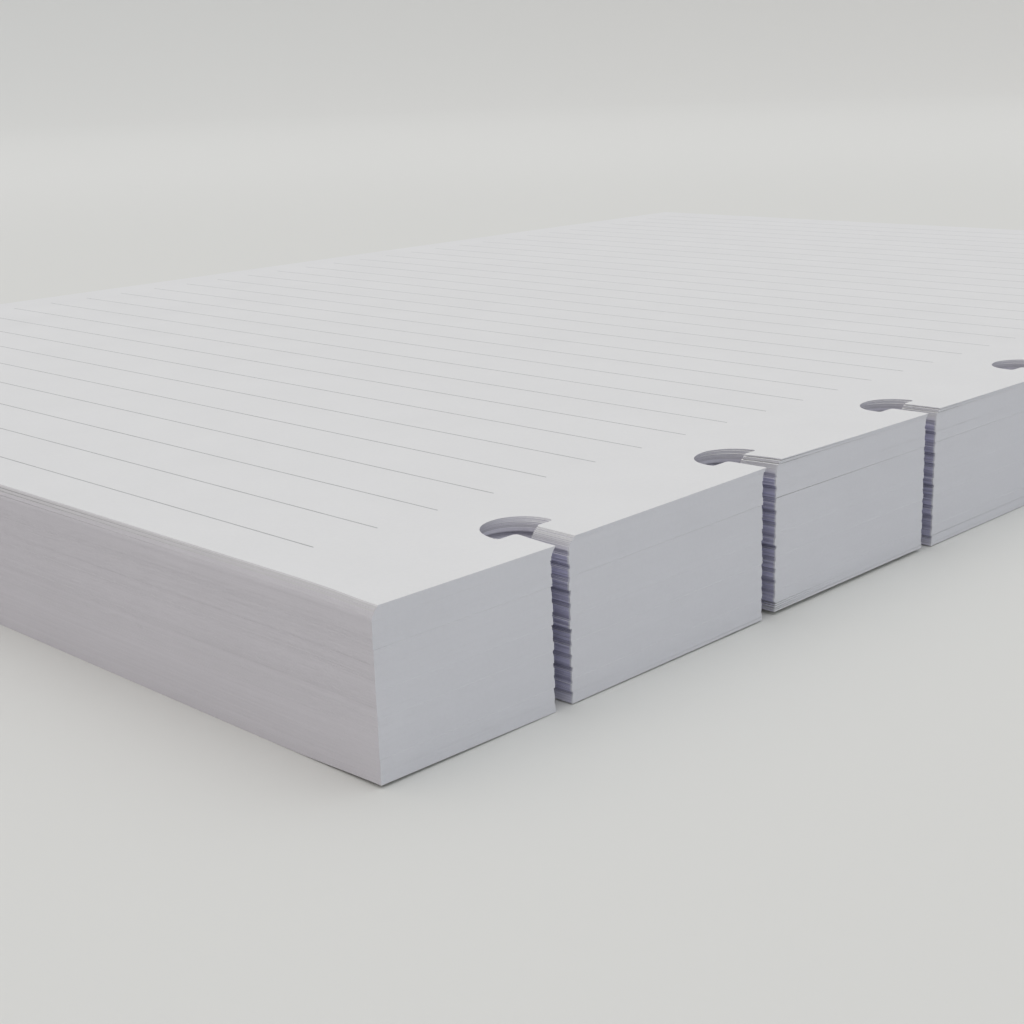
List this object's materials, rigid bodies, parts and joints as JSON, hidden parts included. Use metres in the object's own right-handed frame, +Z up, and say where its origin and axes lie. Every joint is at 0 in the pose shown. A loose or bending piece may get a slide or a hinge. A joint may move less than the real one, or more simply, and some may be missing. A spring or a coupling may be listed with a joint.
{
  "type": "disc-bound refill paper",
  "caption": "Stack of loose ruled A5 leaves with a row of mushroom-shaped slots punched along one long edge for binding discs.",
  "frame": {"origin": "middle of the leaf's outline, on the surface that the stack lies on", "axes": "-X towards the punched edge, +Y towards the head of the page, +Z up through the stack"},
  "size_m": [0.148, 0.2106, 0.0131],
  "materials": {
    "paper": "matte",
    "ink": "matte"
  },
  "bodies": {
    "root": {"leaf_lot_01": "paper", "leaf_lot_02": "paper", "leaf_lot_03": "paper", "leaf_lot_04": "paper", "leaf_lot_05": "paper", "leaf_lot_06": "paper", "leaf_lot_07": "paper", "leaf_lot_08": "paper", "leaf_lot_09": "paper", "leaf_lot_10": "paper", "leaf_lot_11": "paper", "leaf_lot_12": "paper", "loose_leaf_01": "paper", "loose_leaf_02": "paper", "loose_leaf_03": "paper", "loose_leaf_04": "paper", "loose_leaf_05": "paper", "loose_leaf_06": "paper", "loose_leaf_07": "paper", "loose_leaf_08": "paper", "loose_leaf_09": "paper", "loose_leaf_10": "paper", "ruling": "ink"}
  },
  "joints": []
}
